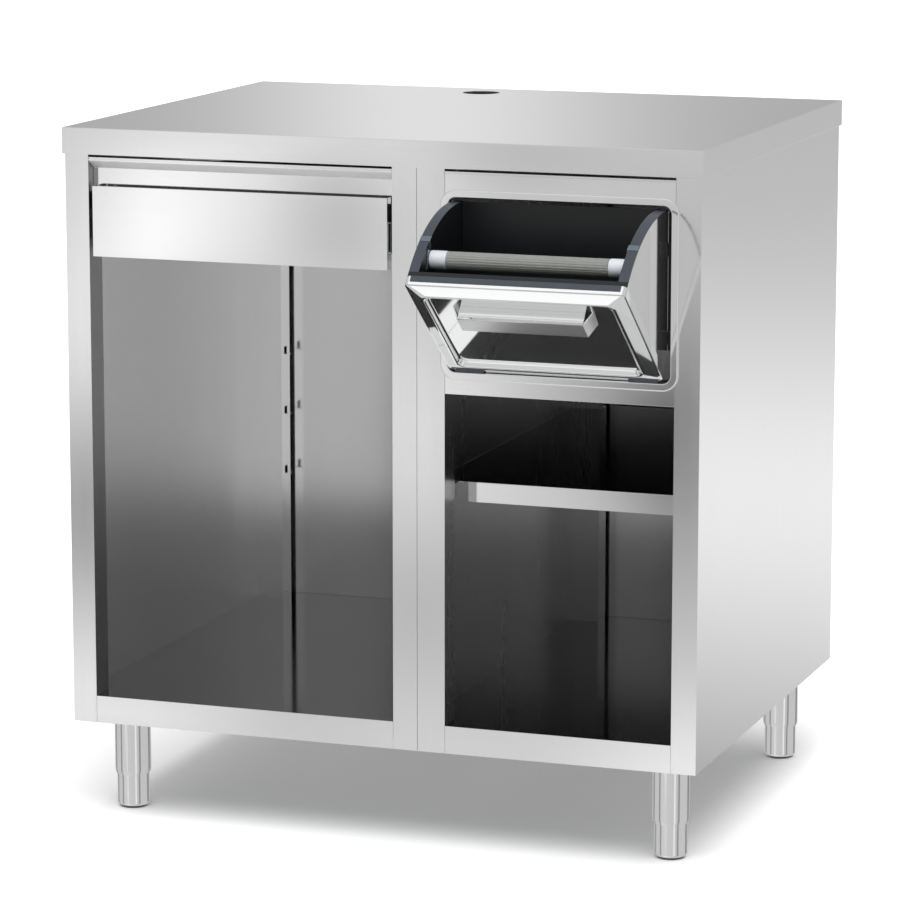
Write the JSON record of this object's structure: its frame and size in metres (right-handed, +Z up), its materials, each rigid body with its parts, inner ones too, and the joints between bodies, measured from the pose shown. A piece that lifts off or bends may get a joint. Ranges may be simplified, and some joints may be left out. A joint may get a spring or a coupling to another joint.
{
  "type": "coffee machine cabinet",
  "caption": "Free-standing stainless counter cabinet with a drawer, open bays, a loose shelf, a tilt-out knock-out bin and adjustable legs.",
  "frame": {"origin": "on the floor under the middle of the whole object's footprint, with the bin open", "axes": "+Z up, -Y towards the front with the drawer and bin, +X to the right seen from the front"},
  "size_m": [1, 0.9946, 1.065],
  "materials": {
    "steel_satin": "satin brushed stainless sheet",
    "steel_polished": "fine-brushed, almost polished stainless sheet",
    "steel_mirror": "mirror-polished stainless steel",
    "steel_zinc": "zinc-plated steel",
    "board": "raw moisture-resistant board",
    "plastic_black": "smooth moulded black plastic",
    "plastic_dark": "matt dark grey plastic",
    "rubber_grey": "ribbed grey rubber",
    "nylon": "pale nylon"
  },
  "bodies": {
    "cabinet": {"worktop": "steel_satin", "worktop_board": "board", "worktop_stiffeners": "steel_zinc", "side_panel_left": "steel_satin", "partition_left": "steel_satin", "partition_right": "steel_satin", "side_panel_right": "steel_satin", "rear_uprights_left": "steel_satin", "rear_uprights_right": "steel_satin", "back_panel_left": "steel_satin", "back_panel_right": "steel_satin", "bottom_shelf_left": "steel_satin", "bottom_shelf_right": "steel_satin", "leg_channels": "steel_zinc", "drawer_rail": "steel_polished", "top_rail_right": "steel_polished", "rear_rails": "steel_satin", "hopper_rail": "steel_polished", "runner_brackets": "steel_zinc", "runner_outers": "steel_zinc", "runner_stops": "plastic_black", "shelf": "steel_polished", "shelf_clips": "steel_zinc", "hopper_frame": "steel_mirror", "hinge_blocks": "plastic_dark", "hinge_pin": "steel_zinc", "leg_flanges": "steel_satin", "leg_tubes": "steel_polished", "leg_inserts": "plastic_black", "module_bolts": "steel_zinc", "leg_bolts": "steel_zinc", "worktop_bolts": "steel_zinc", "frame_screws": "steel_zinc", "runner_screws": "steel_zinc"},
    "runner_middle": {"runner_middles": "steel_zinc"},
    "drawer": {"drawer_front": "steel_polished", "drawer_box": "steel_satin", "runner_inners": "steel_zinc", "drawer_screws": "steel_zinc"},
    "bin": {"bin_front": "steel_mirror", "bin_handle": "steel_mirror", "bin_carrier": "steel_polished", "bin_rivets": "steel_zinc", "bin_tub": "plastic_black", "knock_bar": "steel_zinc", "knock_sleeve": "rubber_grey", "knock_caps": "nylon", "knock_brackets": "steel_mirror"},
    "foot_fl": {"foot_cup_fl": "steel_polished", "foot_stud_fl": "steel_zinc", "foot_glide_fl": "plastic_dark"},
    "foot_fr": {"foot_cup_fr": "steel_polished", "foot_stud_fr": "steel_zinc", "foot_glide_fr": "plastic_dark"},
    "foot_bl": {"foot_cup_bl": "steel_polished", "foot_stud_bl": "steel_zinc", "foot_glide_bl": "plastic_dark"},
    "foot_br": {"foot_cup_br": "steel_polished", "foot_stud_br": "steel_zinc", "foot_glide_br": "plastic_dark"}
  },
  "joints": [
    {"name": "drawer_slide", "type": "slide", "parent": "cabinet", "child": "drawer", "axis": [0, -1, 0], "range_m": [0, 0.42]},
    {"name": "runner_extend", "type": "slide", "parent": "cabinet", "child": "runner_middle", "axis": [0, -1, 0], "range_m": [0, 0.21]},
    {"name": "bin_tilt", "type": "hinge", "parent": "cabinet", "child": "bin", "pos_m": [0.2805, -0.29871, 0.7321], "axis": [1, 0, 0], "range_deg": [-52, 0]},
    {"name": "foot_fl_screw", "type": "slide", "parent": "cabinet", "child": "foot_fl", "axis": [0, 0, 1], "range_m": [-0.025, 0.015]},
    {"name": "foot_fr_screw", "type": "slide", "parent": "cabinet", "child": "foot_fr", "axis": [0, 0, 1], "range_m": [-0.025, 0.015]},
    {"name": "foot_bl_screw", "type": "slide", "parent": "cabinet", "child": "foot_bl", "axis": [0, 0, 1], "range_m": [-0.025, 0.015]},
    {"name": "foot_br_screw", "type": "slide", "parent": "cabinet", "child": "foot_br", "axis": [0, 0, 1], "range_m": [-0.025, 0.015]}
  ],
  "couplings": [
    {"joint": "runner_extend", "follows": "drawer_slide", "ratio": 0.5}
  ]
}
